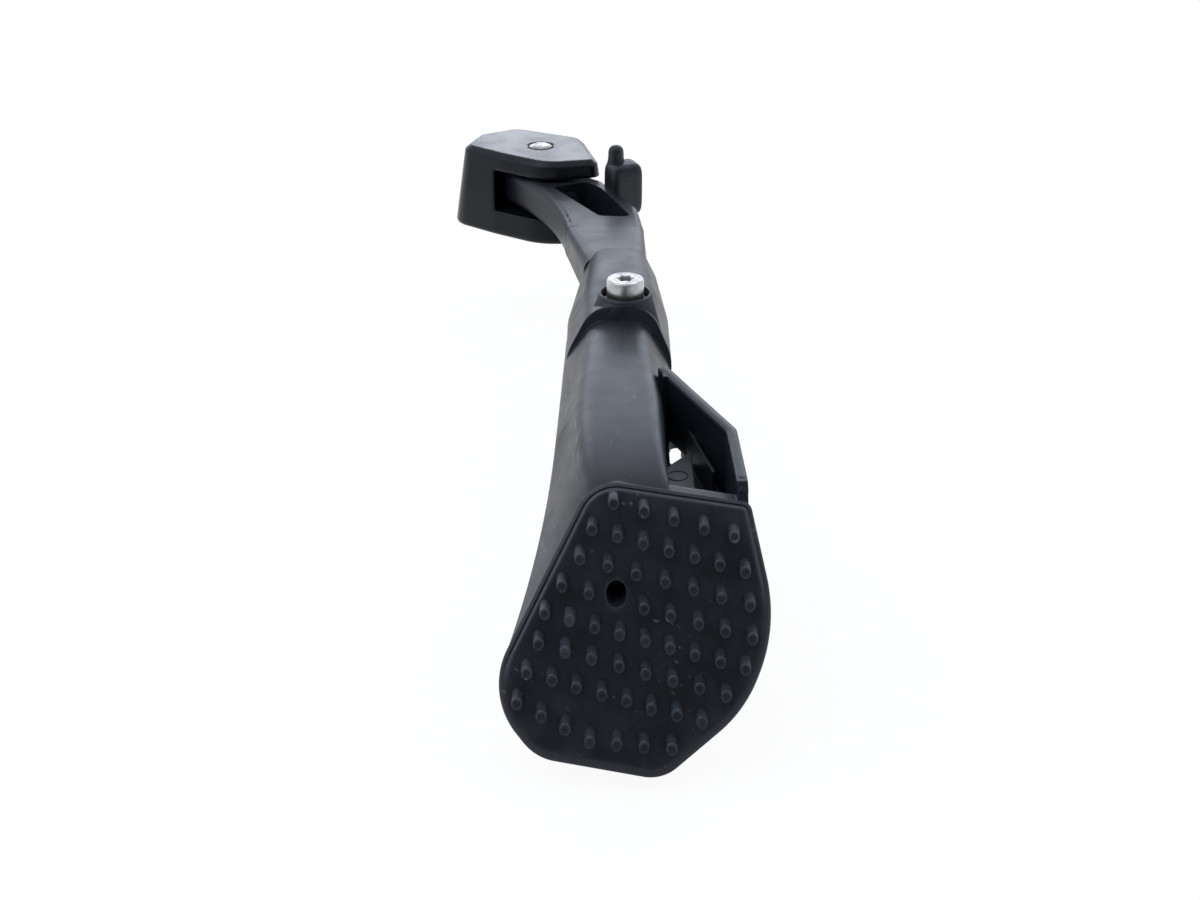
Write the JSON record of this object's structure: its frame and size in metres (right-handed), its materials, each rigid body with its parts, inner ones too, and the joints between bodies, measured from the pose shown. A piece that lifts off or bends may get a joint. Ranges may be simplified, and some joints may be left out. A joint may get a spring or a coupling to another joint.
{
  "type": "bicycle kickstand",
  "caption": "Folding bicycle side stand: bolt-on forked bracket, pivoting arm, length-adjustable moulded leg with a step lever, and a slanted rubber foot pad covered in studs.",
  "frame": {"origin": "middle of the line between the two bolt holes, on the bracket's mounting face", "axes": "+Y out of the mounting face, -Y along the opened leg towards the foot, +Z along the pivot axis"},
  "size_m": [0.0865, 0.3012, 0.0649],
  "materials": {
    "cast_paint": "gloss black paint on cast aluminium",
    "pin_steel": "turned steel",
    "washer_steel": "stamped steel",
    "arm_alloy": "satin black paint on forged aluminium",
    "bush_bronze": "sintered bronze",
    "spring_steel": "drawn spring wire",
    "buffer_rubber": "moulded rubber",
    "leg_nylon": "satin glass-filled nylon",
    "screw_zinc": "bright zinc plate",
    "pad_rubber": "matte moulded rubber"
  },
  "bodies": {
    "bracket": {"housing": "cast_paint", "pivot_pin": "pin_steel", "upper_thrust_washer": "washer_steel", "lower_thrust_washer": "washer_steel"},
    "arm": {"arm": "arm_alloy", "upper_bush": "bush_bronze", "lower_bush": "bush_bronze", "detent_spring": "spring_steel", "detent_plug": "spring_steel", "bumper": "buffer_rubber"},
    "detent": {"detent_plunger": "pin_steel"},
    "leg": {"lower_leg": "leg_nylon", "clamp_screw": "screw_zinc", "clamp_washer": "screw_zinc", "clamp_nut": "screw_zinc", "foot_pad": "pad_rubber"}
  },
  "joints": [
    {"name": "fold", "type": "hinge", "parent": "bracket", "child": "arm", "pos_m": [0.006, -0.022, 0], "axis": [0, 0, 1], "range_deg": [0, 85]},
    {"name": "length", "type": "slide", "parent": "arm", "child": "leg", "axis": [0, -1, 0], "range_m": [0, 0.032]},
    {"name": "detent", "type": "slide", "parent": "arm", "child": "detent", "axis": [-0.4266, 0.9044, 0], "range_m": [0, 0.0004], "stiffness_N_per_m": 500}
  ]
}
